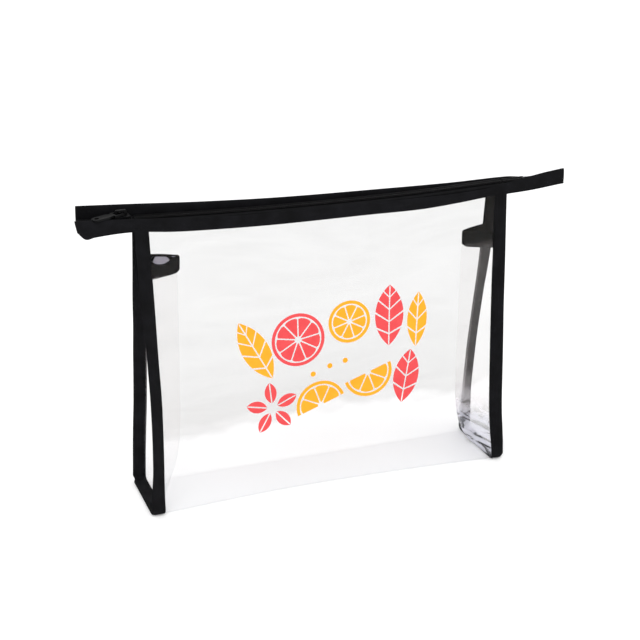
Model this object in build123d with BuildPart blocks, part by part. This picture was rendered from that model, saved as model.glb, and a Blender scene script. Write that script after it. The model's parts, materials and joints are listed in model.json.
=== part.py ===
from build123d import *
import math
import os

# A clear pouch with a zipped top, black binding tape on every seam and a pleated gusset at each end.
# Millimetres. X runs along the zip, the printed wall faces -Y, Z is up, and the floor is Z = 0.

# The clear sheet
CLEAR_WIDTH = 230.0  # between the two side seams
BASE_DEPTH = 52.0  # bottom of the pouch, from its front fold to its back fold
SHEET = 0.5  # thickness of the clear sheet
FOLD_Z = 1.0  # height of the line about which each wall folds out of the bottom
WALL = 184.5  # slant height of a wall, from its fold to the rim tape
MOUTH_GAP = 15.0  # between the tops of the two walls

# The binding tape
FLANGE = 8.8  # width of the folded tape, outside a side seam
TAPE = 2.2  # thickness of the folded tape with the sheets in it
RIM = 9.5  # height of the folded tape along the top of each wall
ZIP_LENGTH = 330.0  # rim tape and zip, which stand out past both side seams

# The gussets
GUSSET_TOP = 162.0  # height of a gusset's bound top edge
GUSSET_TAPE = 11.0  # height of the folded tape on that edge
GUSSET_TAPE_THICK = 1.8
PLEAT_DEPTH = 17.8  # how far a gusset folds inwards, from its seams to the pleat
PLEAT_START = 15.0  # the pleat deepens over about this height above the floor
PLEAT_HEIGHTS = (4, 12, 28, 60, 105)  # closer together where the pleat deepens fast
PLEAT_TIP = 1.5  # how far the blunt end of the tape stands past the pleat

# The zip
COIL_GAP = 0.9  # half of the slot between the two coils, for the slider's post
COIL_WIDTH = 2.1  # one coil
COIL_HEIGHT = 1.8
TAPE_Z = 190.8  # underside of the zip tape beside the coils
ZIP_TAPE = 0.6  # thickness of the zip tape
ZIP_SHOULDER = 5.0  # where the zip tape turns down beside the rim
ZIP_HEM = 2.6  # how far it goes down along the rim
STOP_X = 139.5  # middle of each zip stop
STOP_LENGTH = 2.0

# The slider and its pull
SLIDER_X = -131.5  # the slider stands on the left end of the zip when the pouch is shut
SLIDER_LENGTH = 10.5
SLIDER_NOSE = 9.2  # width at the end that meets the open coils
SLIDER_TAIL = 7.2
SLIDER_PLATE = 1.0
UNDER_WIDTH = 8.0
POST_LENGTH = 2.3
POST_WIDTH = 1.2
BRIDGE_LENGTH = 7.2
BRIDGE_LEG = 1.4
BRIDGE_WIDTH = 1.6
BRIDGE_HEIGHT = 3.3
BRIDGE_BAR = 1.0
PULL_LENGTH = 20.0
PULL_WIDTH = 6.0
PULL_THICK = 1.2
PULL_NECK = 4.4
PULL_HEAD = 6.8
EYE_WIDTH = 4.4
EYE_LENGTH = 4.7
PULL_HOLE = 1.4
PULL_YAW = 20.0  # degrees that the resting pull swings towards the front
PULL_DROOP = 2.0  # degrees that it hangs below level

# The print on the front wall
INK = 0.12
PRINT_S = 87.0  # slant height of the print's middle
PRINT_TILT = 6.0  # degrees
DROP = 1.8  # radius of a printed drop

RUN = 0.3  # clearance between pieces that move past each other
SHEET_FOOT = 0.8  # where a wall starts, above its fold
TAPE_FOOT = 1.7  # where its side tape starts

fold_y = BASE_DEPTH / 2
half_clear = CLEAR_WIDTH / 2
half_body = half_clear + FLANGE
half_zip = ZIP_LENGTH / 2
lean = math.asin((fold_y - MOUTH_GAP / 2) / WALL)
tape_top = TAPE_Z + ZIP_TAPE
coil_top = tape_top + COIL_HEIGHT
coil_edge = COIL_GAP + COIL_WIDTH


def wall_plane(side):
    """The middle plane of a wall: its own X along the fold, its own Y up the slant, facing outwards."""
    return Plane(
        origin=(0, side * fold_y, FOLD_Z),
        x_dir=(-side, 0, 0),
        z_dir=(0, side * math.cos(lean), math.sin(lean)),
    )


def wall_plate(side, x_from, x_to, s_from, s_to, thickness):
    """A flat strip of a wall, from one X to another and from one slant height to another."""
    with BuildPart() as plate:
        with BuildSketch(wall_plane(side)):
            with Locations((-side * (x_from + x_to) / 2, (s_from + s_to) / 2)):
                Rectangle(abs(x_to - x_from), s_to - s_from)
        extrude(amount=thickness / 2, both=True)
    return plate


def gusset_half_span(z):
    """Half of the room between the two walls at a height, less the running clearance."""
    return fold_y - (SHEET / 2 + RUN) - (z - FOLD_Z) * math.tan(lean)


def pleat_depth(z):
    """How far the gusset folds inwards at a height: nothing on the floor, where its foot is sewn flat."""
    return PLEAT_DEPTH * (1 - math.exp(-z / PLEAT_START))


def leaf_outline(hand, side, z):
    """Corners, at a height, of the front (-1) or back (+1) leaf of the left (-1) or right (+1) gusset."""
    half = gusset_half_span(z)
    depth = pleat_depth(z)
    skew = SHEET * math.hypot(half, depth) / half
    root = half_clear - RUN
    return [
        (hand * root, side * half),
        (hand * (root - depth), 0),
        (hand * (root - depth - skew), 0),
        (hand * (root - skew), side * half),
    ]


def gusset_leaf(hand, side):
    """One leaf of the pleated end wall, from a side seam to the pleat's inner fold."""
    top = GUSSET_TOP - GUSSET_TAPE
    with BuildPart() as leaf_sheet:
        for z in (SHEET, *PLEAT_HEIGHTS, top):
            with BuildSketch(Plane.XY.offset(z)):
                with BuildLine():
                    Polyline(*leaf_outline(hand, side, z), close=True)
                make_face()
        loft(ruled=True)
    return leaf_sheet


def gusset_tape(hand):
    """The folded tape over a gusset's top edge, with the blunt end that it makes at the pleat."""
    with BuildPart() as loop:
        for z in (GUSSET_TOP - GUSSET_TAPE, GUSSET_TOP):
            half = gusset_half_span(z)
            depth = pleat_depth(z)
            skew = GUSSET_TAPE_THICK * math.hypot(half, depth) / half
            root = half_clear - RUN
            tip = depth + PLEAT_TIP
            blunt = half * (1 - (tip - skew) / depth)
            with BuildSketch(Plane.XY.offset(z)):
                with BuildLine():
                    Polyline(
                        (hand * root, half),
                        (hand * (root - depth), 0),
                        (hand * root, -half),
                        (hand * (root - skew), -half),
                        (hand * (root - tip), -blunt),
                        (hand * (root - tip), blunt),
                        (hand * (root - skew), half),
                        close=True,
                    )
                make_face()
        loft(ruled=True)
    return loop


def bottom_sheet():
    """The bottom of the pouch, between the two folds and the two side seams."""
    with BuildPart() as sheet:
        with BuildSketch(Plane.XY):
            Rectangle(CLEAR_WIDTH, BASE_DEPTH - 2 * SHEET_FOOT)
        extrude(amount=SHEET)
    return sheet


def bottom_tape(hand):
    """The foot of a side seam's tape, flat on the floor."""
    length = BASE_DEPTH - 2 * (TAPE / 2 + RUN)
    with BuildPart() as tape:
        with BuildSketch(Plane.XY):
            with Locations((hand * (half_clear + half_body) / 2, 0)):
                Rectangle(FLANGE, length)
        extrude(amount=TAPE)
        fillet(tape.edges().filter_by(Axis.Y).group_by(Axis.Z)[-1], TAPE / 3)
    return tape


def zip_tape(side, x_from, x_to):
    """One woven half of the zip: flat beside its coil, then turned down and sewn behind the rim tape."""
    with BuildPart() as tape:
        with BuildSketch(Plane.YZ.offset(x_from)):
            with BuildLine():
                Polyline(
                    (side * COIL_GAP, TAPE_Z),
                    (side * COIL_GAP, tape_top),
                    (side * ZIP_SHOULDER, tape_top),
                    (side * (ZIP_SHOULDER + ZIP_TAPE), tape_top - ZIP_TAPE),
                    (side * (ZIP_SHOULDER + ZIP_TAPE), tape_top - ZIP_HEM),
                    (side * ZIP_SHOULDER, tape_top - ZIP_HEM),
                    (side * ZIP_SHOULDER, TAPE_Z - ZIP_TAPE / 2),
                    (side * (ZIP_SHOULDER - ZIP_TAPE / 2), TAPE_Z),
                    close=True,
                )
            make_face()
        extrude(amount=x_to - x_from)
    return tape


def coil(side, x_from, x_to):
    """One nylon coil, as the bar that its turns fill."""
    with BuildPart() as bar:
        with BuildSketch(Plane.YZ.offset(x_from)):
            with Locations((side * (COIL_GAP + COIL_WIDTH / 2), tape_top + COIL_HEIGHT / 2)):
                RectangleRounded(COIL_WIDTH, COIL_HEIGHT, COIL_HEIGHT / 3)
        extrude(amount=x_to - x_from)
    return bar


def top_stops():
    """The two small clips that stop the slider at the shut end, one on each coil's edge."""
    with BuildPart() as clips:
        for side in (-1, 1):
            with BuildSketch(Plane.YZ.offset(-STOP_X - STOP_LENGTH / 2)):
                with Locations((side * (COIL_GAP + COIL_WIDTH / 2), tape_top + COIL_HEIGHT / 2)):
                    RectangleRounded(COIL_WIDTH, COIL_HEIGHT, COIL_HEIGHT / 4)
            extrude(amount=STOP_LENGTH)
    return clips


def bottom_stop():
    """The clip across both coils at the other end."""
    with BuildPart() as clip:
        with BuildSketch(Plane.YZ.offset(STOP_X - STOP_LENGTH / 2)):
            with Locations((0, tape_top + COIL_HEIGHT / 2)):
                RectangleRounded(2 * coil_edge, COIL_HEIGHT, COIL_HEIGHT / 4)
        extrude(amount=STOP_LENGTH)
    return clip


def slider():
    """The slider: a plate above the coils, one below the tapes, the post between, and the bridge on top."""
    nose = SLIDER_X - SLIDER_LENGTH / 2
    tail = SLIDER_X + SLIDER_LENGTH / 2
    top_plate_z = coil_top + RUN
    bridge_z = top_plate_z + SLIDER_PLATE
    with BuildPart() as body:
        with BuildSketch(Plane.XY.offset(top_plate_z)) as outline:
            with BuildLine():
                Polyline(
                    (nose, SLIDER_NOSE / 2),
                    (SLIDER_X, SLIDER_NOSE / 2),
                    (tail, SLIDER_TAIL / 2),
                    (tail, -SLIDER_TAIL / 2),
                    (SLIDER_X, -SLIDER_NOSE / 2),
                    (nose, -SLIDER_NOSE / 2),
                    close=True,
                )
            make_face()
            fillet(outline.vertices(), SLIDER_PLATE)
        extrude(amount=SLIDER_PLATE)
        with BuildSketch(Plane.XY.offset(TAPE_Z - RUN - SLIDER_PLATE)):
            with Locations((SLIDER_X, 0)):
                RectangleRounded(SLIDER_LENGTH, UNDER_WIDTH, SLIDER_PLATE)
        extrude(amount=SLIDER_PLATE)
        with BuildSketch(Plane.XY.offset(TAPE_Z - RUN)):
            with Locations((nose + SLIDER_PLATE + POST_LENGTH / 2, 0)):
                Rectangle(POST_LENGTH, POST_WIDTH)
        extrude(amount=top_plate_z - TAPE_Z + RUN)
        with BuildSketch(Plane.XZ) as arch:
            with Locations((SLIDER_X, bridge_z + BRIDGE_HEIGHT / 2)):
                RectangleRounded(BRIDGE_LENGTH, BRIDGE_HEIGHT, BRIDGE_BAR)
            with Locations((SLIDER_X, bridge_z + BRIDGE_BAR / 2)):
                Rectangle(BRIDGE_LENGTH, BRIDGE_BAR)
            with Locations((SLIDER_X, bridge_z + (BRIDGE_HEIGHT - BRIDGE_BAR) / 2)):
                Rectangle(
                    BRIDGE_LENGTH - 2 * BRIDGE_LEG, BRIDGE_HEIGHT - BRIDGE_BAR, mode=Mode.SUBTRACT
                )
        extrude(arch.sketch, amount=BRIDGE_WIDTH / 2, both=True)
    return body


def pull():
    """The pull tab: an eye round the slider's bridge, a flat paddle, and a small hole near its end."""
    pin_z = coil_top + RUN + SLIDER_PLATE + (BRIDGE_HEIGHT - BRIDGE_BAR) / 2
    yaw = math.radians(PULL_YAW)
    droop = math.radians(PULL_DROOP)
    along = Vector(
        -math.cos(yaw) * math.cos(droop), -math.sin(yaw) * math.cos(droop), -math.sin(droop)
    )
    across = Vector(math.sin(yaw), -math.cos(yaw), 0)
    flat = Plane(origin=(SLIDER_X, 0, pin_z), x_dir=along, z_dir=along.cross(across))
    pin = Plane(origin=(SLIDER_X, 0, pin_z), x_dir=along, z_dir=across)
    paddle_end = PULL_WIDTH / 2 - PULL_THICK / 4
    with BuildPart() as tab:
        with BuildSketch(pin):
            Circle(PULL_THICK / 2)
        extrude(amount=PULL_HEAD / 2, both=True)
        with BuildSketch(flat):
            with Locations(((EYE_LENGTH + PULL_THICK) / 2, 0)):
                Rectangle(EYE_LENGTH + PULL_THICK, PULL_HEAD)
            with Locations((PULL_LENGTH / 2, 0)):
                Rectangle(PULL_LENGTH - PULL_WIDTH, PULL_NECK)
            with Locations((PULL_LENGTH * 3 / 4 - PULL_WIDTH / 4, 0)):
                RectangleRounded(PULL_LENGTH / 2 + PULL_WIDTH / 2, PULL_WIDTH, paddle_end)
            with Locations((EYE_LENGTH / 2, 0)):
                Rectangle(EYE_LENGTH, EYE_WIDTH, mode=Mode.SUBTRACT)
            with Locations((PULL_LENGTH - PULL_WIDTH / 2, 0)):
                Circle(PULL_HOLE, mode=Mode.SUBTRACT)
        extrude(amount=PULL_THICK / 2, both=True)
    return tab


def leaf(length, width):
    """A leaf with two pointed ends, lying along its own X."""
    with BuildSketch() as shape:
        with BuildLine():
            ThreePointArc((-length / 2, 0), (0, width / 2), (length / 2, 0))
            ThreePointArc((length / 2, 0), (0, -width / 2), (-length / 2, 0))
        make_face()
    return shape.sketch


def half_slice(radius):
    """Half a fruit slice, with its flat side down."""
    with BuildSketch() as shape:
        with BuildLine():
            ThreePointArc((-radius, 0), (0, radius), (radius, 0))
            Line((radius, 0), (-radius, 0))
        make_face()
    return shape.sketch


def flower(radius, petals):
    """Leaves round a middle that they don't reach."""
    with BuildSketch() as shape:
        with PolarLocations(radius * 0.6, petals, start_angle=90):
            add(leaf(radius * 0.8, radius * 0.45))
    return shape.sketch


def print_plane():
    """The outer face of the front wall, about the middle of the print and turned with it."""
    wall = wall_plane(-1)
    turn = math.radians(PRINT_TILT)
    return Plane(
        origin=wall.origin + wall.y_dir * PRINT_S + wall.z_dir * SHEET / 2,
        x_dir=wall.x_dir * math.cos(turn) + wall.y_dir * math.sin(turn),
        z_dir=wall.z_dir,
    )


def coral_print():
    """The coral half of the print: a round melon slice, a flower and two leaves."""
    with BuildPart() as ink:
        with BuildSketch(print_plane()):
            with Locations((-21, 21)):
                Circle(18)
            with Locations(Location((43, 23), 82)):
                add(leaf(42, 20))
            with Locations((-44, -22)):
                add(flower(18, 5))
            with Locations(Location((50, -22), 74)):
                add(leaf(38, 18))
        extrude(amount=INK)
    return ink


def orange_print():
    """The orange half of the print: two leaves, a round slice, two half slices and a few drops."""
    with BuildPart() as ink:
        with BuildSketch(print_plane()):
            with Locations(Location((-50, 20), 112)):
                add(leaf(46, 18))
            with Locations((15, 25)):
                Circle(14.5)
            with Locations(Location((62, 16), 80)):
                add(leaf(38, 14))
            with Locations(Location((-11, -28), 14)):
                add(half_slice(17))
            with Locations(Location((23.5, -13), 194)):
                add(half_slice(17))
            with Locations((-14, -5), (-2, -2), (9, -1)):
                Circle(DROP)
        extrude(amount=INK)
    return ink


def save(piece, name):
    piece.part.label = name
    export_step(piece.part, f"parts/{name}.step")


os.makedirs("parts", exist_ok=True)

save(bottom_sheet(), "bottom_sheet")
for hand, end in ((-1, "left"), (1, "right")):
    save(gusset_leaf(hand, -1), f"gusset_front_{end}")
    save(gusset_leaf(hand, 1), f"gusset_back_{end}")
    save(gusset_tape(hand), f"gusset_tape_{end}")
    save(bottom_tape(hand), f"bottom_tape_{end}")

for side, wall in ((-1, "front"), (1, "back")):
    save(wall_plate(side, -half_clear, half_clear, SHEET_FOOT, WALL, SHEET), f"{wall}_sheet")
    save(wall_plate(side, -half_body, half_body, WALL, WALL + RIM, TAPE), f"{wall}_rim_tape")
    save(zip_tape(side, -half_body, half_body), f"{wall}_zip_tape")
    save(coil(side, -half_body, half_body), f"{wall}_zip_coil")
    for hand, end in ((-1, "left"), (1, "right")):
        inner, outer = hand * (half_body + RUN), hand * half_zip
        stop = hand * (STOP_X - STOP_LENGTH / 2)
        save(
            wall_plate(side, hand * half_clear, hand * half_body, TAPE_FOOT, WALL, TAPE),
            f"{wall}_tape_{end}",
        )
        save(
            wall_plate(side, inner, outer, WALL + RUN, WALL + RIM, TAPE),
            f"{wall}_rim_end_{end}",
        )
        save(zip_tape(side, min(inner, outer), max(inner, outer)), f"{wall}_zip_end_{end}")
        save(coil(side, min(inner, stop), max(inner, stop)), f"{wall}_coil_end_{end}")

save(coral_print(), "print_coral")
save(orange_print(), "print_orange")
save(top_stops(), "zip_top_stops")
save(bottom_stop(), "zip_bottom_stop")
save(slider(), "slider")
save(pull(), "pull")
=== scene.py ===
"""A clear zipped pouch with black binding tape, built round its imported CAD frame.
Shapes are worked out in millimetres, and Shape.make turns them into metres."""

import json
import math

import bmesh
import bpy
from mathutils import Matrix, Vector, noise


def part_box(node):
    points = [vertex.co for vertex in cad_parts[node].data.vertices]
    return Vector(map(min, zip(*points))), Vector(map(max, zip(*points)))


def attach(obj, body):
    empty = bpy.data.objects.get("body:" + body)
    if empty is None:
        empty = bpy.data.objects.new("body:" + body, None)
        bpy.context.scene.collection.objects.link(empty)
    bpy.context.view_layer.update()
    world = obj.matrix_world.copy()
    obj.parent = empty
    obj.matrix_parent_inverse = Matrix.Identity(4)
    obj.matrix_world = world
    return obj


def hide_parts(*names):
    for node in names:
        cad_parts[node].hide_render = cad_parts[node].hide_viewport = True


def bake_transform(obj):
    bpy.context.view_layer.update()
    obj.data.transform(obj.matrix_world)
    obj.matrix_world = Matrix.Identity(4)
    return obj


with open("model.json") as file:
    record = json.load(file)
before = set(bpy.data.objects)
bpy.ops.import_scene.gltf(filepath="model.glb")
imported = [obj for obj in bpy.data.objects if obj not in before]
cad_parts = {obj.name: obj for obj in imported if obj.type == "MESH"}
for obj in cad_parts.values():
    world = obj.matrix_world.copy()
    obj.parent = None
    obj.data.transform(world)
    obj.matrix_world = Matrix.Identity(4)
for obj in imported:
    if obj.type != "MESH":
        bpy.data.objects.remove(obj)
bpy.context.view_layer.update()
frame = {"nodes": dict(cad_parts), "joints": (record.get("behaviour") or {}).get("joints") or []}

MM = 0.001
SIDES = (("front", -1), ("back", 1))
HANDS = (("left", -1), ("right", 1))


def node_box(name):
    """The lowest and highest corners of a CAD node, in millimetres."""
    low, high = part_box(name)
    return low / MM, high / MM


# ---------------------------------------------------------------- sizes, in millimetres

joints = {joint["name"]: joint for joint in frame["joints"]}
half_clear = node_box("front_sheet")[1].x
half_body = node_box("front_tape_right")[1].x
half_zip = node_box("front_rim_end_right")[1].x
fold_y = -joints["front_open"]["pos_m"][1] / MM
fold_z = joints["front_open"]["pos_m"][2] / MM
rim_z = node_box("front_sheet")[1].z
gusset_low, gusset_high = node_box("gusset_tape_left")
zip_tape_z = node_box("front_zip_tape")[1].z
coil_height = node_box("front_zip_coil")[1].z - zip_tape_z

MOUTH_HALF = 7.5  # from the middle of the zip to a wall's top
lean = math.atan2(fold_y - MOUTH_HALF, rim_z - fold_z)
wall_length = (rim_z - fold_z) / math.cos(lean)
tape_width = half_body - half_clear

SHEET = 0.4  # the clear sheet of the walls and bottom
SHEET_END = 0.05  # the share of its thickness where its two pieces meet
GUSSET_SHEET = 0.32
LEAF_FOOT = 0.8  # height of a gusset leaf's lower edge
TAPE_HALF = 0.95  # half of the folded tape's thickness
GUSSET_TAPE_HALF = 0.8
FULL_TAPE = 6.5  # a tape narrower than this has its folds and stitches closer together
END_REACH = {  # how far each wall's tape goes past the zip's end in the CAD
    ("front", "left"): -4.0,
    ("back", "left"): -7.5,
    ("front", "right"): 1.4,
    ("back", "right"): 1.4,
}
FLARE = 22.0  # degrees that a seam's flange turns out of its wall
FRONT_LEFT_FLARE = 4.0  # more degrees at the front left
CORNER = 4.0  # how far from the bottom fold a seam starts to turn the corner
BOW = {"front": 4.6, "back": 2.4}  # how far the bottom fold bows in between the corners
STITCH_PITCH = 3.0
STITCH_LENGTH = 2.3
STITCH_RADIUS = 0.2
STITCH_IN = 1.6  # from the tape's sewn edge to the stitches
PLEAT_DEPTH = 17.8
PLEAT_START = 15.0  # how fast the pleat deepens above the floor
GUSSET_SHIFT = {"left": 2.9, "right": -1.5}  # how far each gusset's top edge was sewn off its level
GUSSET_TIP = {"left": 1.0, "right": -0.7}  # how far its top tape reaches past the pleat's depth
ZIP_TAPE = 0.55
COIL_PITCH = 1.27
COIL_WIRE = 0.27
COIL_MIDDLE = 1.62  # from the middle of the zip to the middle of a coil
COIL_REACH = 1.32  # how far the wire's middle swings to either side of that
INK = 0.1
SHARP_EDGE = 45  # degrees

# Where the black tape along each wall's top runs: (x, height) of its edges and (x, distance from the middle)
LIP_TOP = {
    "front": (
        (-165, 195.8), (-134, 194.0), (-81, 190.2), (-53, 188.9), (0, 189.2), (60, 188.6),
        (105, 189.8), (133, 194.2), (150, 196.9), (165, 198.6),
    ),
    "back": (
        (-165, 201.2), (-123, 198.7), (-80, 195.9), (-28, 193.6), (40, 192.5), (90, 192.1),
        (131, 192.7), (145, 191.6), (155, 192.8), (165, 194.6),
    ),
}
LIP_LOW = {
    "front": (
        (-165, 196.5), (-161, 191.0), (-156, 185.6), (-150, 185.8), (-125, 185.5), (-100, 183.1),
        (-70, 181.7), (-33, 180.9), (30, 181.0), (63, 181.0), (88, 182.6), (112, 184.8),
        (143, 186.3), (165, 188.3),
    ),
    "back": (
        (-165, 190.5), (-123, 188.3), (-80, 186.1), (-28, 183.0),
        (40, 181.7), (131, 182.3), (165, 185.5),
    ),
}
LIP_TOP_Y = {
    "front": ((-165, 6.2), (0, 6.8), (124, 6.8), (165, 5.6)),
    "back": ((-165, 6.8), (124, 6.8), (165, 3.8)),
}
LIP_LOW_Y = {
    "front": ((-165, 14.5), (-143, 10.0), (-124, 8.0), (0, 7.6), (124, 7.6), (165, 6.4)),
    "back": ((-165, 7.8), (-124, 7.6), (124, 7.6), (165, 4.6)),
}
# How far each side seam strays outwards in x, as (distance up the wall, stray)
SEAM_STRAY = {
    ("front", "left"): ((0, 0.7), (16, 0.6), (45, -0.3), (75, -0.8), (105, -0.1), (140, 0.4), (191, 1.5)),
    ("front", "right"): (
        (0, 0.9), (11, 0.3), (20, -0.6), (35, -1.5), (65, -1.6), (120, -0.9), (155, 0.2), (185, 0.8),
    ),
    ("back", "left"): ((0, 0.8), (24, 0.4), (42, -0.1), (60, -0.6), (90, -0.8), (190, -0.8)),
    ("back", "right"): ((0, 0.0), (66, 0.0), (86, 0.5), (106, 1.2), (126, 1.9), (150, 2.1), (190, 1.9)),
}
LEFT_FORWARD = 2.0  # how far the left end of the bottom stands forward
# How far the zip sags, as (x, sag). It is level where the slider stops, at each end.
ZIP_SAG = (
    (-165, -1.6), (-141, -0.1), (-131, 0.0), (-121, 0.1), (-60, 1.9), (0, 2.6),
    (60, 2.2), (121, 0.1), (131, 0.0), (141, -0.1), (165, -2.4),
)


# ---------------------------------------------------------------- small helpers


def smooth(t):
    """A step from 0 to 1 that starts and ends gently."""
    t = min(max(t, 0.0), 1.0)
    return t * t * (3 - 2 * t)


def mix(a, b, t):
    """A share t of the way from a to b."""
    return a + (b - a) * t


def through(points, x):
    """The height at x of a smooth line through (x, height) points."""
    if x <= points[0][0]:
        return points[0][1]
    for i in range(len(points) - 1):
        (x0, y0), (x1, y1) = points[i], points[i + 1]
        if x > x1:
            continue
        before, after = points[max(i - 1, 0)], points[min(i + 2, len(points) - 1)]
        slope0 = (y1 - before[1]) / (x1 - before[0])
        slope1 = (after[1] - y0) / (after[0] - x0)
        t, run = (x - x0) / (x1 - x0), x1 - x0
        return (
            y0 * (1 + 2 * t) * (1 - t) ** 2
            + slope0 * run * t * (1 - t) ** 2
            + y1 * t * t * (3 - 2 * t)
            - slope1 * run * t * t * (1 - t)
        )
    return points[-1][1]


def waver(x, y, seed, scale):
    """Smooth noise from -1 to 1."""
    return noise.noise(Vector((x / scale, y / scale, seed * 13.7)))


def spread(start, end, step):
    """Evenly spaced numbers from start to end, about a step apart."""
    count = max(1, round(abs(end - start) / step))
    return [mix(start, end, i / count) for i in range(count + 1)]


class Shape:
    """The points and faces of one piece, in millimetres, with a slot number and a UV in millimetres."""

    def __init__(self):
        self.points, self.uvs, self.faces, self.slots = [], [], [], []

    def add(self, points, uvs, faces, slot=0):
        first = len(self.points)
        self.points += points
        self.uvs += uvs
        self.faces += [[first + i for i in face] for face in faces]
        self.slots += [slot] * len(faces)

    def slab(self, grid, thickness, end=1.0):
        """A thin closed sheet whose middle is a grid of points. Its last row is end times as thick."""
        rows, columns = len(grid), len(grid[0])
        faces_up, faces_down, points, uvs = [], [], [[], []], []
        for i in range(rows):
            for j in range(columns):
                along = grid[min(i + 1, rows - 1)][j] - grid[max(i - 1, 0)][j]
                across = grid[i][min(j + 1, columns - 1)] - grid[i][max(j - 1, 0)]
                normal = along.cross(across)
                normal = normal.normalized() * thickness / 2 if normal.length > 1e-9 else Vector()
                normal *= end if i == rows - 1 else 1.0
                points[0].append(grid[i][j] + normal)
                points[1].append(grid[i][j] - normal)
                uvs.append((grid[i][j].x, grid[i][j].y + grid[i][j].z))
        count = rows * columns
        for i in range(rows - 1):
            for j in range(columns - 1):
                a, b = i * columns + j, (i + 1) * columns + j
                faces_up.append([a, a + 1, b + 1, b])
                faces_down.append([count + b, count + b + 1, count + a + 1, count + a])
        rim = (
            [j for j in range(columns)]
            + [i * columns + columns - 1 for i in range(1, rows)]
            + [(rows - 1) * columns + j for j in range(columns - 2, -1, -1)]
            + [i * columns for i in range(rows - 2, 0, -1)]
        )
        edge = [[b, a, count + a, count + b] for a, b in zip(rim, rim[1:] + rim[:1])]
        self.add(points[0] + points[1], uvs + uvs, faces_up + faces_down + edge)

    def sweep(self, rings, slot=0):
        """A closed skin through rings of points, with capped ends."""
        size, points, uvs, faces, run = len(rings[0]), [], [], [], 0.0
        for k, ring in enumerate(rings):
            run += (ring[0] - rings[k - 1][0]).length if k else 0.0
            round_ring = 0.0
            for i, point in enumerate(ring):
                round_ring += (point - ring[i - 1]).length if i else 0.0
                points.append(point)
                uvs.append((run, round_ring))
        for k in range(len(rings) - 1):
            for i in range(size):
                a, b = k * size + i, k * size + (i + 1) % size
                faces.append([a, b, b + size, a + size])
        faces += [list(range(size))[::-1], [(len(rings) - 1) * size + i for i in range(size)]]
        self.add(points, uvs, faces, slot)

    def stitch(self, middle, along, out, slot=1):
        """One short thread, lying on a tape and dipping into it at both ends."""
        side = along.cross(out).normalized()
        rings = []
        for t in (-1, -0.72, 0, 0.72, 1):
            fat = STITCH_RADIUS * (0.35 if abs(t) == 1 else 1)
            centre = middle + along * (t * STITCH_LENGTH / 2) - out * (0.3 * t * t)
            rings.append(
                [
                    centre + side * (fat * math.cos(a)) + out * (fat * math.sin(a))
                    for a in (math.tau * k / 6 for k in range(6))
                ]
            )
        self.sweep(rings, slot)

    def make(self, name, materials):
        """The finished object, in metres."""
        mesh = bpy.data.meshes.new(name)
        mesh.from_pydata([point * MM for point in self.points], [], self.faces)
        for material in materials:
            mesh.materials.append(material)
        mesh.polygons.foreach_set("material_index", self.slots)
        layer = mesh.uv_layers.new(name="UVMap")
        layer.data.foreach_set("uv", [v for loop in mesh.loops for v in self.uvs[loop.vertex_index]])
        working = bmesh.new()
        working.from_mesh(mesh)
        bmesh.ops.recalc_face_normals(working, faces=working.faces)
        working.to_mesh(mesh)
        working.free()
        mesh.shade_smooth()
        mesh.set_sharp_from_angle(angle=math.radians(SHARP_EDGE))
        piece = bpy.data.objects.new(name, mesh)
        bpy.context.scene.collection.objects.link(piece)
        return piece


# ---------------------------------------------------------------- the surfaces that the pieces share


def lip(wall, side, x):
    """The lower and upper edge of the black tape on a wall's top."""
    low = Vector((x, side * through(LIP_LOW_Y[wall], x), through(LIP_LOW[wall], x)))
    top = Vector((x, side * through(LIP_TOP_Y[wall], x), through(LIP_TOP[wall], x)))
    return low, top


def bow(wall, x, s):
    """How far a wall bows in, which fades towards its seams and up its height."""
    reach = max(0.0, 1 - (x / half_clear) ** 2)
    return BOW[wall] * reach * math.exp(-s / 45)


def stray(wall, x, s):
    """How far a point of a wall is moved in x and y, because the pouch isn't quite square."""
    hand, reach = (-1, -x / half_clear) if x < 0 else (1, x / half_clear)
    out = through(SEAM_STRAY[wall, "left" if x < 0 else "right"], s) * hand * min(reach, 1.1) ** 2
    return out, -LEFT_FORWARD * smooth((-x - 20) / 90) * math.exp(-max(s, 0) / 70)


def wall_point(wall, side, x, s, out=0.0):
    """A point of a wall: x along its fold, s up its slant, and out from its middle."""
    share = s / wall_length
    dx, dy = stray(wall, x, s)
    sag = rim_z - through(LIP_LOW[wall], x)
    calm = smooth((half_clear - abs(x)) / 30) * smooth((wall_length - s) / 30) * smooth(s / 25)
    ripple = 0.9 * waver(x, s, side + 2, 55) + 0.35 * waver(x, s * 0.6, side + 5, 21)
    belly = 1.4 * math.sin(math.pi * share) * smooth((half_clear - abs(x)) / 60)
    y = fold_y - s * math.sin(lean) - bow(wall, x, s) + belly + ripple * calm
    z = fold_z + s * math.cos(lean) - sag * share**2
    return Vector((x + dx, side * (y + out * math.cos(lean)) + dy, z + out * math.sin(lean)))


def pleat_depth(z):
    """How far in a gusset's fold stands at a height above the floor."""
    return PLEAT_DEPTH * (1 - math.exp(-max(z, 0) / PLEAT_START))


def slant_at(z):
    """How far up a wall a height is."""
    return (z - fold_z) / math.cos(lean)


def corner_curve(top, knee, foot, t):
    """A point of the rounded corner from a wall's foot, at top, to the floor, at foot."""
    return top * (1 - t) ** 2 + knee * 2 * t * (1 - t) + foot * t * t


def fold_blend(piece):
    """Bakes a piece's placement into its mesh; the rounded bottom fold, from the base to its wall, is already
    in its shape.
    """
    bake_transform(piece)


# ---------------------------------------------------------------- materials


def material(name, colour, roughness, **values):
    """A new material, with its node tree and its shader. The values are for other sockets of the shader."""
    made = bpy.data.materials.new(name)
    made.use_nodes = True
    shader = made.node_tree.nodes["Principled BSDF"]
    shader.inputs["Base Color"].default_value = (*colour, 1)
    shader.inputs["Roughness"].default_value = roughness
    for socket, value in values.items():
        shader.inputs[socket.replace("_", " ")].default_value = value
    return made, made.node_tree, shader


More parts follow.
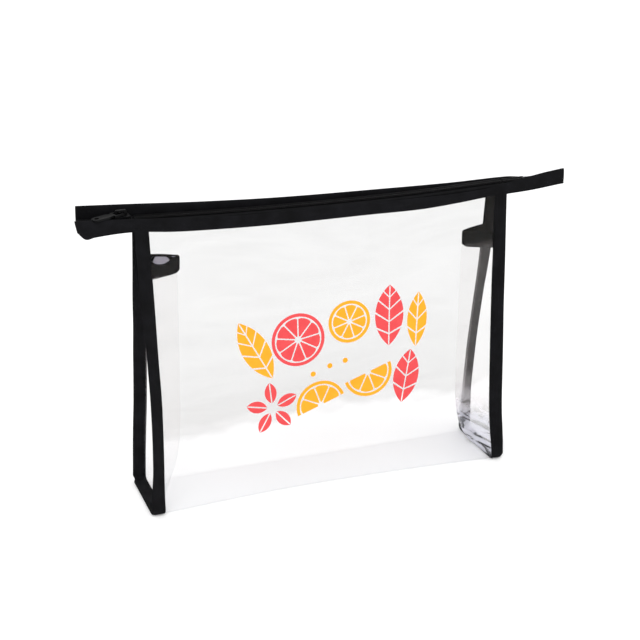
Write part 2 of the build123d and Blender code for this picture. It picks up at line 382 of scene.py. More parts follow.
def node(tree, kind, **settings):
    """A new node. Each setting is the value of an input, or of a property of the node."""
    made = tree.nodes.new(kind)
    for key, value in settings.items():
        if key in made.inputs:
            made.inputs[key].default_value = value
        else:
            setattr(made, key, value)
    return made


def link(tree, source, target, output=0):
    """Join a node's output, its first unless it is named or numbered, to an input."""
    tree.links.new(source.outputs[output], target)


def combined(tree, operation, first, second):
    """Two values in one. A sum stays between 0 and 1."""
    made = node(tree, "ShaderNodeMath", operation=operation, use_clamp=operation == "ADD")
    link(tree, first, made.inputs[0])
    link(tree, second, made.inputs[1])
    return made


def smooth_step(tree, source, output, start, end, most=1.0):
    """From 0 to most, as an output goes from start to end."""
    step = node(tree, "ShaderNodeMapRange", interpolation_type="SMOOTHSTEP")
    step.inputs["From Min"].default_value = start
    step.inputs["From Max"].default_value = end
    step.inputs["To Max"].default_value = most
    link(tree, source, step.inputs["Value"], output)
    return step


def colour_ramp(tree, source, colours, positions=(0.0, 1.0)):
    """Two colours, chosen and blended by a value."""
    ramp = node(tree, "ShaderNodeValToRGB")
    for element, colour, position in zip(ramp.color_ramp.elements, colours, positions):
        element.color = (*colour, 1)
        element.position = position
    link(tree, source, ramp.inputs["Fac"])
    return ramp


def roughened(tree, shader, height, strength, distance):
    """A bump on the shader, from a height."""
    bump = node(tree, "ShaderNodeBump", Strength=strength, Distance=distance)
    link(tree, height, bump.inputs["Height"])
    link(tree, bump, shader.inputs["Normal"], "Normal")
    return bump


def mottle(tree, shader, dark, light, scale):
    """Slow colour variation from dark to light."""
    place = node(tree, "ShaderNodeTexCoord")
    cloud = node(tree, "ShaderNodeTexNoise", Scale=scale, Detail=5.0, Roughness=0.6)
    link(tree, place, cloud.inputs["Vector"], "Object")
    ramp = colour_ramp(tree, cloud, (dark, light), (0.35, 0.68))
    link(tree, ramp, shader.inputs["Base Color"], "Color")
    return place, cloud


def woven(name, dark, light, thread, twill=False):
    """Black woven tape, whose threads are a thread's width in millimetres apart."""
    made, tree, shader = material(
        name, light, 0.8, Sheen_Weight=0.01, Sheen_Roughness=0.5, Specular_IOR_Level=0.06
    )
    place, cloud = mottle(tree, shader, dark, light, 90)
    split = node(tree, "ShaderNodeSeparateXYZ")
    link(tree, place, split.inputs[0], "UV")
    waves = []
    for axis in ("X", "Y"):
        turn = node(tree, "ShaderNodeMath", operation="MULTIPLY")
        turn.inputs[1].default_value = math.tau / thread
        link(tree, split, turn.inputs[0], axis)
        if twill and axis == "X":
            slide = node(tree, "ShaderNodeMath", operation="PINGPONG")
            slide.inputs[1].default_value = 2.4
            slanted = node(tree, "ShaderNodeMath", operation="MULTIPLY_ADD")
            slanted.inputs[1].default_value = math.tau / thread
            link(tree, split, slide.inputs[0], "Y")
            link(tree, slide, slanted.inputs[0])
            link(tree, turn, slanted.inputs[2])
            turn = slanted
        wave = node(tree, "ShaderNodeMath", operation="SINE")
        link(tree, turn, wave.inputs[0])
        waves.append(wave)
    height = node(tree, "ShaderNodeMath", operation="MULTIPLY_ADD")
    height.inputs[1].default_value = 0.5
    link(tree, combined(tree, "MULTIPLY", *waves), height.inputs[0])
    link(tree, cloud, height.inputs[2])
    roughened(tree, shader, height, 0.5, 0.00012)
    return made


def satin(name, dark, light, roughness, scale, shine):
    """Thread, moulded nylon or painted metal, with faint wear."""
    made, tree, shader = material(name, light, roughness, Specular_IOR_Level=shine)
    _, cloud = mottle(tree, shader, dark, light, scale)
    roughened(tree, shader, cloud, 0.12, 0.0001)
    return made


def ink(name, dark, light):
    """Screen print: even colour with a faint mottle."""
    made, tree, shader = material(name, light, 0.42, Specular_IOR_Level=0.3)
    mottle(tree, shader, dark, light, 160)
    return made


SHEET_ALPHA = 0.03  # of a clear sheet that is seen square on
SHEET_TINT = (0.4, 0.4, 0.45)
MIX_FIRST, MIX_SECOND, MIX_RESULT = 6, 7, 2  # the colour sockets of a Mix node


def edge_on(tree, bump, most):
    """A clear sheet's alpha: more where it turns away."""
    facing = node(tree, "ShaderNodeLayerWeight", Blend=0.5)
    steep = node(tree, "ShaderNodeMath", operation="POWER")
    steep.inputs[1].default_value = 4.0
    alpha = node(tree, "ShaderNodeMapRange")
    alpha.inputs["To Min"].default_value = SHEET_ALPHA
    alpha.inputs["To Max"].default_value = most
    link(tree, bump, facing.inputs["Normal"], "Normal")
    link(tree, facing, steep.inputs[0], "Facing")
    link(tree, steep, alpha.inputs["Value"])
    return alpha


def folds(tree, place, turn, scale, **settings):
    """Noise drawn out into folds, in a space turned by degrees about x and y."""
    turned = node(tree, "ShaderNodeMapping")
    turned.inputs["Rotation"].default_value = (math.radians(turn[0]), math.radians(turn[1]), 0.0)
    turned.inputs["Scale"].default_value = scale
    drawn_out = node(tree, "ShaderNodeTexNoise", Scale=1.0, **settings)
    link(tree, place, turned.inputs["Vector"], "Object")
    link(tree, turned, drawn_out.inputs["Vector"])
    return drawn_out


def creased_shade_and_haze(tree, place, shade_and_haze):
    """A thin layer of tint with faint creases in it: painted shade where the tint is dark, a faint hazy film
    where it is pale.
    """
    creases = folds(tree, place, (0, -28), (9.0, 9.0, 46.0), Detail=4.0, Roughness=0.62, Distortion=1.2)
    made = node(tree, "ShaderNodeMapRange")
    for socket, value in (
        ("From Min", 0.3),
        ("From Max", 0.7),
        ("To Min", shade_and_haze * 0.78),
        ("To Max", shade_and_haze * 1.22),
    ):
        made.inputs[socket].default_value = value
    link(tree, creases, made.inputs["Value"])
    return made


def above_edge(tree, split, cloud, edge):
    """0 below a wavering height, and 1 above it."""
    sway = 0.035
    wavering = node(tree, "ShaderNodeMath", operation="MULTIPLY_ADD")
    wavering.inputs[1].default_value = sway
    link(tree, cloud, wavering.inputs[0])
    link(tree, split, wavering.inputs[2], "Z")
    low = sway / 2 + edge
    return smooth_step(tree, wavering, 0, low, low + 0.006)


def clear_sheet(name, shade_and_haze, tint, edge, most=0.35, gusset=False):
    """Clear vinyl: what is behind it shows through, less so where it is seen edge on.
    Above the height edge it adds its tint, by the second argument's amount: a dark tint there is painted
    shade, a pale one a faint hazy film."""
    made, tree, shader = material(name, (0.9, 0.9, 0.95), 0.07, Specular_IOR_Level=0.6)
    place = node(tree, "ShaderNodeTexCoord")
    cloud = node(tree, "ShaderNodeTexNoise", Scale=22.0, Detail=2.0, Roughness=0.5)
    link(tree, place, cloud.inputs["Vector"], "Object")
    bump = roughened(tree, shader, cloud, 0.35, 0.0012)
    split = node(tree, "ShaderNodeSeparateXYZ")
    link(tree, place, split.inputs[0], "Object")
    upper = above_edge(tree, split, cloud, edge)
    # Above the edge height a tint is added, with faint creases in it; on the walls that tint is dark, which
    # is painted shade.
    shown = combined(tree, "MULTIPLY", creased_shade_and_haze(tree, place, shade_and_haze), upper)
    alpha = combined(tree, "ADD", edge_on(tree, bump, most), shown)
    colour, output = colour_ramp(tree, upper, (SHEET_TINT, tint)), 0
    if gusset:
        alpha, colour = gusset_look(tree, place, split, alpha, colour)
        output = MIX_RESULT
    link(tree, alpha, shader.inputs["Alpha"])
    link(tree, colour, shader.inputs["Base Color"], output)
    return made


def gusset_look(tree, place, split, alpha, colour):
    """The alpha and colour of a crumpled gusset.
    Near the bottom of the right-hand end it has a painted reflection of the room and the black tapes, in
    streaky bands of near black and pale lavender, and is more opaque there.
    Within the loop that stands open at the top of the left-hand end, above a set height, it is painted a more
    opaque greyish lavender: painted shade."""
    # Painted reflection: near the floor at the right-hand end, noise picks near-black and pale bands that
    # stand in for the room and the black tapes reflected in the gusset.
    near = smooth_step(tree, split, "Z", 0.066, 0.004)
    right_end = smooth_step(tree, split, "X", 0.0, 0.09)
    shine = combined(tree, "MULTIPLY", near, right_end)
    painted_reflection_folds = folds(tree, place, (35, 20), (55.0, 40.0, 120.0), Detail=3.0, Roughness=0.55, Distortion=1.8)
    painted_reflection_colours = colour_ramp(tree, painted_reflection_folds, ((0.03, 0.03, 0.035), (0.8, 0.8, 0.88)), (0.44, 0.5))
    patchy = combined(tree, "MULTIPLY", shine, painted_reflection_folds)
    heavy = combined(tree, "ADD", patchy, alpha)
    # Painted shade: above loop_z the gusset turns a more opaque greyish lavender, where it shows within the
    # open loop.
    loop_z = (gusset_low.z + 3) * MM
    painted_loop_shade = smooth_step(tree, split, "Z", loop_z, loop_z + 0.003, most=0.78)
    with_painted_reflection = node(tree, "ShaderNodeMix", data_type="RGBA")
    link(tree, shine, with_painted_reflection.inputs["Factor"])
    link(tree, colour, with_painted_reflection.inputs[MIX_FIRST])
    link(tree, painted_reflection_colours, with_painted_reflection.inputs[MIX_SECOND])
    loop_shade_colour = node(tree, "ShaderNodeMix", data_type="RGBA")
    loop_shade_colour.inputs[MIX_SECOND].default_value = (0.52, 0.49, 0.62, 1)
    link(tree, painted_loop_shade, loop_shade_colour.inputs["Factor"])
    link(tree, with_painted_reflection, loop_shade_colour.inputs[MIX_FIRST], MIX_RESULT)
    return combined(tree, "MAXIMUM", heavy, painted_loop_shade), loop_shade_colour


TAPE_CLOTH = woven("binding_tape", (0.004, 0.004, 0.0045), (0.0075, 0.0075, 0.009), 0.55)
ZIP_CLOTH = woven("zip_tape", (0.0025, 0.0025, 0.003), (0.005, 0.005, 0.006), 0.6, twill=True)
THREAD = satin("thread", (0.004, 0.004, 0.0045), (0.007, 0.007, 0.008), 0.7, 400, 0.1)
NYLON = satin("zip_coil", (0.0025, 0.0025, 0.003), (0.005, 0.005, 0.0055), 0.45, 500, 0.12)
METAL = satin("black_metal", (0.002, 0.002, 0.0025), (0.004, 0.004, 0.0045), 0.45, 260, 0.09)
# The walls' dark tints, added above their edge heights, are painted shade; the gusset's pale tint is a faint
# hazy film.
CLEAR = {
    "front": clear_sheet("clear_sheet_front", 0.065, (0.02, 0.017, 0.01), 0.05),
    "back": clear_sheet("clear_sheet_back", 0.023, (0.03, 0.027, 0.02), 0.03),
}
# With gusset=True the gusset also gets a painted reflection near the floor at its right-hand end, and painted
# shade in the open loop.
CLEAR_GUSSET = clear_sheet("clear_gusset", 0.018, (0.85, 0.8, 0.8), 0.03, most=0.09, gusset=True)
CORAL = ink("print_coral", (0.72, 0.055, 0.062), (0.77, 0.07, 0.075))
ORANGE = ink("print_orange", (0.97, 0.36, 0.008), (1.0, 0.4, 0.012))


# ---------------------------------------------------------------- tapes


class Station:
    """One section of a tape: its sewn edge, the way across it, the way out of its face, and its width."""

    def __init__(self, edge, across, out, width):
        self.edge, self.across, self.out, self.width = edge, across.normalized(), out.normalized(), width

    def at(self, w, t):
        """The point w across from the sewn edge and t out of the face."""
        return self.edge + self.across * w + self.out * t


def tape_ring(station, pucker, half=TAPE_HALF):
    """The outline of a folded tape, pulled in at its stitches."""
    width = station.width
    narrow = min(1.0, width / FULL_TAPE)
    upper = (
        (0.0, 0.45),
        (0.45 * narrow, 0.88),
        (STITCH_IN * narrow, 0.66 - 0.1 * pucker),
        (2.8 * narrow, 0.9),
        (width * 0.62, 1.0),
        (width - 1.5 * narrow, 0.96),
        (width - 0.45 * narrow, 0.66),
    )
    outline = [*upper, (width, 0.0), *[(w, -t) for w, t in reversed(upper)]]
    return [station.at(w, t * half) for w, t in outline]


def add_tape(shape, stations, half=TAPE_HALF):
    """A folded tape along its stations, with its stitches."""
    run, runs = 0.0, [0.0]
    for a, b in zip(stations, stations[1:]):
        run += (b.edge - a.edge).length
        runs.append(run)
    rings = []
    for station, here in zip(stations, runs):
        pucker = math.cos(math.tau * here / STITCH_PITCH)
        rings.append(tape_ring(station, pucker, half))
    shape.sweep(rings)
    k = 0
    for place in spread(STITCH_PITCH / 2, run - STITCH_PITCH / 2, STITCH_PITCH):
        while runs[k + 1] < place and k < len(runs) - 2:
            k += 1
        t = (place - runs[k]) / (runs[k + 1] - runs[k])
        a, b = stations[k], stations[k + 1]
        inset = STITCH_IN * min(1.0, a.width / FULL_TAPE)
        along = (b.at(inset, 0) - a.at(inset, 0)).normalized()
        for face in (1, -1):
            height = face * (0.62 * half + STITCH_RADIUS * 0.35)
            shape.stitch(a.at(inset, height).lerp(b.at(inset, height), t), along, mix(a.out, b.out, t) * face)


def seam_flare(wall, end, s):
    """How far a seam's flange is turned out, in radians: not at its ends, where it meets the other tapes."""
    most = math.radians(FLARE + (FRONT_LEFT_FLARE if (wall, end) == ("front", "left") else 0))
    return most * smooth((wall_length - 12 - s) / 70) * smooth(s / 34)


def seam_stations(wall, side, end, hand):
    """A side seam from under the rim tape, down to its foot and round the corner on to the floor."""
    stations = []
    for s in spread(wall_length + 3, CORNER, 1.0):
        turn = seam_flare(wall, end, s)
        edge = wall_point(wall, side, hand * half_clear, s)
        wobble = 0.35 * waver(s, 0, side + 3 * hand, 30)
        across = Vector((hand * math.cos(turn), side * math.sin(turn), 0))
        out = Vector((-hand * math.sin(turn), side * math.cos(turn), math.sin(lean)))
        stations.append(Station(edge, across, out, tape_width + wobble))
    top = wall_point(wall, side, hand * half_clear, CORNER)
    dx, dy = stray(wall, hand * half_clear, 0)
    floor = Vector((hand * half_clear + dx, side * (fold_y - CORNER) + dy, TAPE_HALF))
    knee = Vector((hand * half_clear + dx, side * (fold_y - 0.3) + dy, TAPE_HALF))
    for t in spread(0, 1, 0.1)[1:]:
        edge = corner_curve(top, knee, floor, t)
        along = (knee - top) * (1 - t) + (floor - knee) * t
        out = Vector((0, side * abs(along.z), -abs(along.y)))
        width = tape_width - 1.0 * math.sin(math.pi * t) ** 2
        stations.append(Station(edge, Vector((hand, 0, 0)), out, width))
    return stations


def side_tapes():
    """The tapes down the side seams, which bend round the bottom corners."""
    for wall, side in SIDES:
        for end, hand in HANDS:
            shape = Shape()
            add_tape(shape, seam_stations(wall, side, end, hand))
            piece = shape.make(f"{wall}_tape_{end}_cloth", (TAPE_CLOTH, THREAD))
            fold_blend(piece)
            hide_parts(f"{wall}_tape_{end}")


def bottom_tapes():
    """The tape under each gusset, between the feet of the side tapes."""
    for end, hand in HANDS:
        stations = []
        (front_x, dy), (back_x, _) = (stray(wall, hand * half_clear, 0) for wall, _ in SIDES)
        for t in spread(0, 1, 0.025):
            x = hand * half_clear + mix(front_x, back_x, t)
            y = mix(-(fold_y - CORNER) - 0.05, fold_y - CORNER + 0.05, t) + dy
            edge = Vector((x, y, TAPE_HALF))
            stations.append(Station(edge, Vector((hand, 0, 0)), Vector((0, 0, 1)), tape_width))
        shape = Shape()
        add_tape(shape, stations)
        piece = shape.make(f"bottom_tape_{end}_cloth", (TAPE_CLOTH, THREAD))
        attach(piece, "base")
        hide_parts(f"bottom_tape_{end}")


def rim_station(wall, side, x):
    """The tape on a wall's top."""
    low, top = lip(wall, side, x)
    across = top - low
    out = Vector((0, side * across.z, -side * across.y))
    return Station(low, across, out, across.length)


def end_blend(piece):
    """Bakes a piece's placement into its mesh. Past the side seams a wall's tape comes back to the zip's
    stop, where the two halves never part.
    """
    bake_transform(piece)


def rim_tapes():
    """The tape along each wall's top, and on past it to the ends of the zip."""
    for wall, side in SIDES:
        shape = Shape()
        add_tape(shape, [rim_station(wall, side, x) for x in spread(-half_body, half_body, 1.0)])
        piece = shape.make(f"{wall}_rim_cloth", (TAPE_CLOTH, THREAD))
        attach(piece, wall)
        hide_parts(f"{wall}_rim_tape")
        for end, hand in HANDS:
            reach = half_zip + END_REACH[wall, end]
            shape = Shape()
            places = spread(hand * half_body, hand * reach, 1.0)
            add_tape(shape, [rim_station(wall, side, x) for x in places])
            piece = shape.make(f"{wall}_rim_{end}_cloth", (TAPE_CLOTH, THREAD))
            end_blend(piece)
            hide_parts(f"{wall}_rim_end_{end}")


def nip(end, wall, t):
    """How far a gusset's top tape is folded up from below. At the left its loop stands open."""
    if (end, wall) != ("left", "back"):
        return 0.0
    return 9.5 * smooth((t - 0.12) / 0.22) * smooth((1.02 - t) / 0.38)


def dip(end, wall, t):
    """How far a gusset's top edge sinks below its level."""
    if (end, wall) != ("left", "front"):
        return 0.0
    return 2.6 * math.sin(math.pi * min(t / 0.92, 1.0)) ** 2 - 1.8 * smooth((0.25 - t) / 0.25)


def rounded(t):
    """The share of a gusset's half depth left at t along its top edge, from the seam to a blunt tip."""
    return (1 - t) ** 0.9 * (1 + 0.35 * t * t)


def gusset_stations(wall, side, end, hand):
    """Half of a gusset's top tape, from its wall's seam to the blunt tip of the pleat."""
    low_z, top_z = gusset_low.z + GUSSET_SHIFT[end], gusset_high.z + GUSSET_SHIFT[end]
    root = wall_point(wall, side, hand * (half_clear + 1.5), slant_at(top_z))
    tip_x = hand * (half_clear - PLEAT_DEPTH - GUSSET_TIP[end])
    edges = []
    for t in spread(0, 1, 0.04):
        x = mix(root.x, tip_x, t)
        y = side * (abs(root.y) - 0.6) * rounded(t)
        if t > 0.9:
            x = mix(root.x, tip_x, 0.9 + 0.1 * math.sin((t - 0.9) * 5 * math.pi))
        raised = nip(end, wall, t) + 1.6 * smooth((t - 0.88) / 0.12)
        edges.append((Vector((x, y, low_z + raised)), top_z - low_z - raised - dip(end, wall, t)))
    stations = []
    for k, (edge, width) in enumerate(edges):
        along = edges[min(k + 1, len(edges) - 1)][0] - edges[max(k - 1, 0)][0]
        along.z = 0
        if k == len(edges) - 1:
            along = Vector((0, -side, 0))
        out = Vector((-along.y, along.x, 0)) * (side * hand)
        stations.append(Station(edge, Vector((0, 0, 1)), out, width))
    return stations


def gusset_tapes():
    """The tape over each gusset's top edge, in two halves that meet at the blunt tip of the pleat."""
    for end, hand in HANDS:
        for wall, side in SIDES:
            shape = Shape()
            add_tape(shape, gusset_stations(wall, side, end, hand), half=GUSSET_TAPE_HALF)
            piece = shape.make(f"gusset_tape_{end}_{wall}_half", (TAPE_CLOTH, THREAD))
            gusset_blend(piece)
            if side < 0:
                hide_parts(f"gusset_tape_{end}")


# ---------------------------------------------------------------- clear sheets


def gusset_blend(piece):
    """Bakes a piece's placement into its mesh. A leaf's seam moves with its wall and the pleat's fold
    doesn't, but no blend between them is made.
    """
    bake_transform(piece)


def clear_walls():
    """One sheet makes both walls and the bottom. It is shown in two pieces, which meet at the back fold."""
    columns = spread(-half_clear - 1.2, half_clear + 1.2, 4.0)
    floor = SHEET / 2 + 0.05
    for wall, side in SIDES:
        grid = []
        for s in spread(wall_length + 4, CORNER, 4.0):
            grid.append([wall_point(wall, side, x, s) for x in columns])
        for t in spread(0, 1, 0.125)[1:]:
            row = []
            for x in columns:
                top = wall_point(wall, side, x, CORNER)
                edge = fold_y - bow(wall, x, 0)
                dx, dy = stray(wall, x, 0)
                knee = Vector((x + dx, side * edge + dy, floor))
                foot = Vector((x + dx, side * (edge - CORNER) + dy, floor))
                row.append(corner_curve(top, knee, foot, t))
            grid.append(row)
        if wall == "front":
            feet = grid[-1]
            for t in spread(0, 1, 0.1)[1:]:
                row = []
                for x, foot in zip(columns, feet):
                    dx, dy = stray("back", x, 0)
                    far = Vector((x + dx, fold_y - bow("back", x, 0) - CORNER + dy, floor))
                    row.append(foot.lerp(far, t))
                grid.append(row)
        shape = Shape()
        shape.slab(grid, SHEET, end=SHEET_END)
        piece = shape.make(f"{wall}_clear_sheet", (CLEAR[wall],))
        fold_blend(piece)
        if side < 0:
            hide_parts("front_sheet", "bottom_sheet")
        else:
            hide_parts("back_sheet")


def leaf_row(wall, side, hand, z):
    """Points of a gusset leaf at one height, from its seam to the pleat's fold. It is crumpled low down."""
    seam = wall_point(wall, side, hand * (half_clear + 1.0), slant_at(max(z, fold_z + 0.5)))
    seam.z = z
    seam.y -= side * 0.7
    depth = pleat_depth(z - LEAF_FOOT)
    fold = Vector((hand * (half_clear - depth), stray(wall, hand * half_clear, z)[1], z))
    row = []
    for t in spread(0, 1, 0.1):
        point = seam.lerp(fold, t)
        point.y += (seam.y - fold.y) * (rounded(t) - (1 - t)) * smooth((z - gusset_low.z + 8) / 8)
        calm = math.sin(math.pi * t) * smooth(z / 20) * (1 - smooth((z - gusset_low.z) / 8))
        swell = calm * (0.8 + 1.1 * waver(10 * t, z, hand * 3 + side, 26))
        low = math.sin(math.pi * t) * math.exp(-((z - 14) / 9) ** 2)
        swell += 1.2 * low * waver(24 * t, z, hand + side * 5, 9)
        row.append(point + Vector((-hand, -side * 0.5, 0)) * swell)
    return row


def gusset_leaves():
    """The two leaves of each gusset, from the floor up into its top tape. One shows in the open loop."""
    for end, hand in HANDS:
        for wall, side in SIDES:
            levels = [LEAF_FOOT, 2, 4, 7, 11, 16, 22] + spread(29, gusset_low.z + 4, 6.0)
            if (end, wall) == ("left", "back"):
                levels += [gusset_low.z + 8, gusset_low.z + 12, gusset_low.z + 13.1]
            shape = Shape()
            shape.slab([leaf_row(wall, side, hand, z) for z in levels], GUSSET_SHEET)
            piece = shape.make(f"gusset_{wall}_{end}_leaf", (CLEAR_GUSSET,))
            gusset_blend(piece)
            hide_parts(f"gusset_{wall}_{end}")


# ---------------------------------------------------------------- the zip


def zip_z(x):
    """The height of the zip's woven halves."""
    return zip_tape_z - through(ZIP_SAG, x)


def zip_half(wall, side, x_from, x_to):
    """One woven half of the zip, from under its coil to the back of the rim tape."""
    grid = []
    for x in spread(x_from, x_to, 2.0):
        z = zip_z(x) - 0.3
        low, top = lip(wall, side, x)
        rim = min(abs(low.lerp(top, 0.6).y) - TAPE_HALF - 0.25, 6.4)
        section = [(0.5, 0.0), (1.6, 0.0), (3.1, 0.05)]
        section += [(rim - 0.9, 0.1), (rim - 0.2, -0.25), (rim, -1.0), (rim, -2.8)]
        grid.append([Vector((x, side * y, z + dz)) for y, dz in section])
    shape = Shape()
    shape.slab(grid, ZIP_TAPE)
    return shape


def coil_half(side, x_from, x_to):
    """A nylon coil: one turn for each tooth, whose heads mesh with the other coil's."""
    shape, rings = Shape(), []
    first = math.ceil(x_from / COIL_PITCH)
    last = math.floor(x_to / COIL_PITCH)
    steps = 12
    line = []
    for k in range((last - first) * steps + 1):
        turn = k / steps
        x = (first + turn + (0.25 if side > 0 else -0.25)) * COIL_PITCH
        angle = math.tau * turn
        y = COIL_MIDDLE + COIL_REACH * math.cos(angle)
        z = zip_z(x) + coil_height / 2 + (coil_height / 2 - COIL_WIRE) * math.sin(angle)
        line.append(Vector((x, side * y, z)))
    for k, point in enumerate(line):
        along = (line[min(k + 1, len(line) - 1)] - line[max(k - 1, 0)]).normalized()
        over = Vector((1, 0, 0)).cross(along).normalized()
        up = along.cross(over)
        rings.append(
            [point + over * (COIL_WIRE * math.cos(a)) + up * (COIL_WIRE * math.sin(a))
             for a in (math.tau * j / 5 for j in range(5))]
        )
    shape.sweep(rings)
    return shape


def zip_pieces():
    """The zip's woven halves and coils: one span that rides each wall, and one past each end of it."""
    stop = node_box("zip_top_stops")[1].x
    for wall, side in SIDES:
        spans = [("", -half_body, half_body, half_body)]
        spans += [(f"_{end}", hand * half_body, hand * half_zip, stop) for end, hand in HANDS]
        for suffix, x_from, x_to, coil_end in spans:
            hand = 1 if x_from > 0 else -1
            low_x, high_x = min(x_from, x_to), max(x_from, x_to)
            if suffix == "_left":
                low_x -= END_REACH["back", "left"]
            cloth = zip_half(wall, side, low_x, high_x).make(f"{wall}_zip_cloth{suffix}", (ZIP_CLOTH,))
            if suffix:
                coil_from, coil_to = sorted((hand * half_body, hand * abs(coil_end)))
            else:
                coil_from, coil_to = low_x, high_x
            teeth = coil_half(side, coil_from, coil_to).make(f"{wall}_coil{suffix}", (NYLON,))
            for piece, slot in ((cloth, "zip_tape"), (teeth, "zip_coil")):
                if suffix:
                    end_blend(piece)
                else:
                    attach(piece, wall)
            node_end = f"_end{suffix}" if suffix else ""
            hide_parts(f"{wall}_zip{node_end}" if suffix else f"{wall}_zip_tape")
            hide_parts(f"{wall}_coil{node_end}" if suffix else f"{wall}_zip_coil")


# ---------------------------------------------------------------- the print

PRINT_S = 87.0  # slant height of its middle
PRINT_TILT = math.radians(6.0)


def placed(grid, place, angle):
    """A grid of flat points, turned and put in its place on the front wall."""
    turn = math.radians(angle)
    made = []
    for row in grid:
        new_row = []
        for p, q in row:
            u = place[0] + p * math.cos(turn) - q * math.sin(turn)
            v = place[1] + p * math.sin(turn) + q * math.cos(turn)
            x = u * math.cos(PRINT_TILT) - v * math.sin(PRINT_TILT)
            s = PRINT_S + u * math.sin(PRINT_TILT) + v * math.cos(PRINT_TILT)
            new_row.append(wall_point("front", -1, x, s, SHEET / 2 + 0.03 + INK / 2))
        made.append(new_row)
    return made


def leaf(length, width, veins):
    """A pointed leaf, cut into veined patches along its midrib."""
    radius = ((length / 2) ** 2 + (width / 2) ** 2) / width
    patches = []
    for half in (1, -1):
        for k in range(veins):
            start = k / veins + (0.55 / length if k else 0.0)
            end = (k + 1) / veins - (0.55 / length if k < veins - 1 else 0.0)
            grid = []
            for t in spread(start, end, 0.04):
                rib = -length / 2 + length * t
                slid = min(max(t + 0.16 * math.sin(math.pi * t), 0), 1)
                p = -length / 2 + length * slid
                q = math.sqrt(radius**2 - p * p) - (radius - width / 2)
                gap = min(0.45, q * 0.5)
                grid.append([(mix(rib, p, f), half * mix(gap, q, f)) for f in (0, 0.25, 0.5, 0.75, 1)])
            patches.append(grid)
    return patches


def slice_patches(radius, sweep_degrees, wedges):
    """A round or half slice: its rind and its wedges."""
    sweep_angle = math.radians(sweep_degrees)
    patches = [
        [[(r * math.cos(a), r * math.sin(a)) for r in (radius, radius - 1.1, radius - 2.2)]
         for a in spread(0, sweep_angle, 0.1)]
    ]
    outer, gap = radius - 3.1, 0.45
    for k in range(wedges):
        grid = []
        a0, a1 = sweep_angle * k / wedges, sweep_angle * (k + 1) / wedges
        full = sweep_degrees == 360
        for f in spread(0, 1, 0.125):
            row = []
            for r in spread(outer * 0.16, outer, outer / 6):
                inset0 = math.asin(min(0.9, gap / r)) if full or k else 0.0
                inset1 = math.asin(min(0.9, gap / r)) if full or k < wedges - 1 else 0.0
                corner = 1 - 0.05 * abs(2 * f - 1) ** 4 * smooth((r / outer - 0.6) / 0.4)
                a = mix(a0 + inset0, a1 - inset1, f)
                row.append((r * corner * math.cos(a), r * corner * math.sin(a)))
            grid.append(row)
        patches.append(grid)
    return patches


def flower(radius, petals):
    """Petals round an open middle, each with a line down it."""
    patches = []
    for k in range(petals):
        angle = math.radians(90 + 360 * k / petals)
        cos, sin = math.cos(angle), math.sin(angle)
        for grid in leaf(radius * 0.8, radius * 0.45, 1):
            moved = [[(p + radius * 0.6, q) for p, q in row] for row in grid]
            patches.append([[(p * cos - q * sin, p * sin + q * cos) for p, q in row] for row in moved])
    return patches


def drop(radius):
    """A round dot."""
    rings = (0.05, radius / 2, radius)
    return [[[(r * math.cos(a), r * math.sin(a)) for r in rings] for a in spread(0, math.tau, 0.3)]]


def prints():
    """The two inks on the front wall. Each motif has its patches, its place and its turn in degrees."""
    coral = [
        (slice_patches(18, 360, 9), (-21, 21), 4),
        (leaf(42, 20, 5), (43, 23), 82),
        (flower(18, 5), (-44, -22), 0),
        (leaf(38, 18, 4), (50, -22), 74),
    ]
    orange = [
        (leaf(46, 18, 5), (-50, 20), 112),
        (slice_patches(14.5, 360, 8), (15, 25), 10),
        (leaf(38, 14, 4), (62, 16), 80),
        (slice_patches(17, 180, 4), (-11, -28), 14),
        (slice_patches(17, 180, 4), (23.5, -13), 194),
    ]
    orange += [(drop(1.8), place, 0) for place in ((-14, -5), (-2, -2), (9, -1))]
    for name, motifs, colour in (("print_coral", coral, CORAL), ("print_orange", orange, ORANGE)):
        shape = Shape()
        for patches, place, angle in motifs:
            for grid in patches:
                shape.slab(placed(grid, place, angle), INK)
        piece = shape.make(f"{name}_ink", (colour,))
        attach(piece, "front")
        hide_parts(name)


# ---------------------------------------------------------------- metal parts that the CAD already shapes


def metal_parts():
    """Black metal with softened edges."""
    for name in ("slider", "pull", "zip_top_stops", "zip_bottom_stop"):
        piece = frame["nodes"][name]
        piece.data.materials.clear()
        piece.data.materials.append(METAL)
        bevel = piece.modifiers.new("soft_edges", "BEVEL")
        bevel.width = 0.00018
        bevel.segments = 2
        bevel.limit_method = "ANGLE"


# ---------------------------------------------------------------- the studio


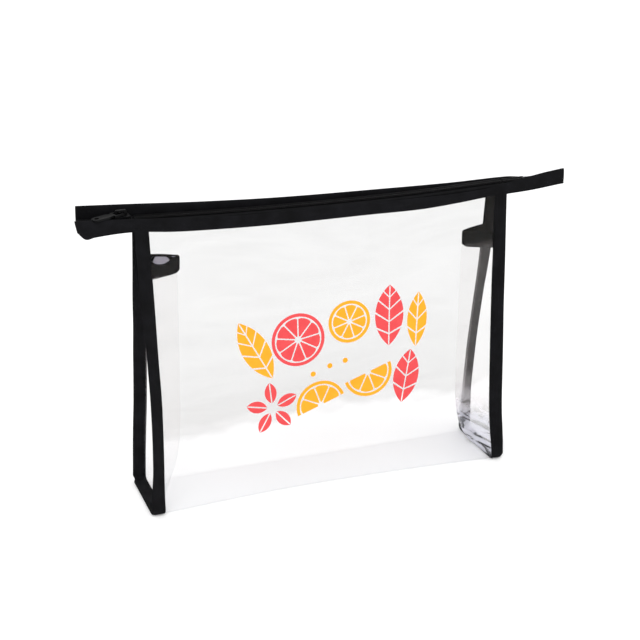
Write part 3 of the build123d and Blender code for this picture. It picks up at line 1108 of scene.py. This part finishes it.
def white_floor():
    size = 9.0
    corners = [(-size, -size, 0), (size, -size, 0), (size, size, 0), (-size, size, 0)]
    mesh = bpy.data.meshes.new("floor")
    mesh.from_pydata(corners, [], [(0, 1, 2, 3)])
    pale, _, shader = material("floor", (0.93, 0.93, 0.93), 0.9, Emission_Strength=0.13)
    shader.inputs["Emission Color"].default_value = (1, 1, 1, 1)
    mesh.materials.append(pale)
    floor = bpy.data.objects.new("floor", mesh)
    bpy.context.scene.collection.objects.link(floor)


def white_world():
    world = bpy.data.worlds.new("studio")
    world.use_nodes = True
    background = world.node_tree.nodes["Background"]
    background.inputs["Color"].default_value = (1, 1, 1, 1)
    background.inputs["Strength"].default_value = 1.06
    bpy.context.scene.world = world


def lamp(name, place, size, power):
    """A square light that points at the middle of the pouch."""
    light = bpy.data.lights.new(name, "AREA")
    light.size, light.energy = size, power
    made = bpy.data.objects.new(name, light)
    bpy.context.scene.collection.objects.link(made)
    made.location = place
    made.rotation_euler = (Vector((0, 0, 0.1)) - made.location).to_track_quat("-Z", "Y").to_euler()


def studio():
    """A white floor and a white room, bright enough that both leave the picture white."""
    white_floor()
    white_world()
    lamp("key_light", (-0.9, -1.3, 1.5), 1.0, 9.0)
    lamp("side_light", (1.5, -0.6, 1.0), 0.8, 3.0)
    bpy.context.scene.view_settings.view_transform = "Standard"
    bpy.context.scene.cycles.transparent_max_bounces = 24  # so that light passes every layer of clear sheet


def camera():
    """From the left of the front and a little above, slightly rolled."""
    azimuth, elevation, roll = (math.radians(v) for v in (-20.56, 22.29, 0.85))
    target, distance, lens = Vector((-0.0021, 0, 0.1094)), 1.0, 86.33
    flat = math.cos(elevation)
    back = Vector((math.sin(azimuth) * flat, -math.cos(azimuth) * flat, math.sin(elevation)))
    level = Vector((math.cos(azimuth), math.sin(azimuth), 0))
    upright = back.cross(level)
    right = level * math.cos(roll) + upright * math.sin(roll)
    up = upright * math.cos(roll) - level * math.sin(roll)
    data = bpy.data.cameras.new("camera")
    data.lens, data.sensor_width = lens, 36.0
    made = bpy.data.objects.new("camera", data)
    bpy.context.scene.collection.objects.link(made)
    turned = Matrix((right, up, back)).transposed().to_4x4()
    made.matrix_world = Matrix.Translation(target + back * distance) @ turned
    bpy.context.scene.camera = made


clear_walls()
gusset_leaves()
side_tapes()
bottom_tapes()
gusset_tapes()
rim_tapes()
zip_pieces()
prints()
metal_parts()
studio()
camera()
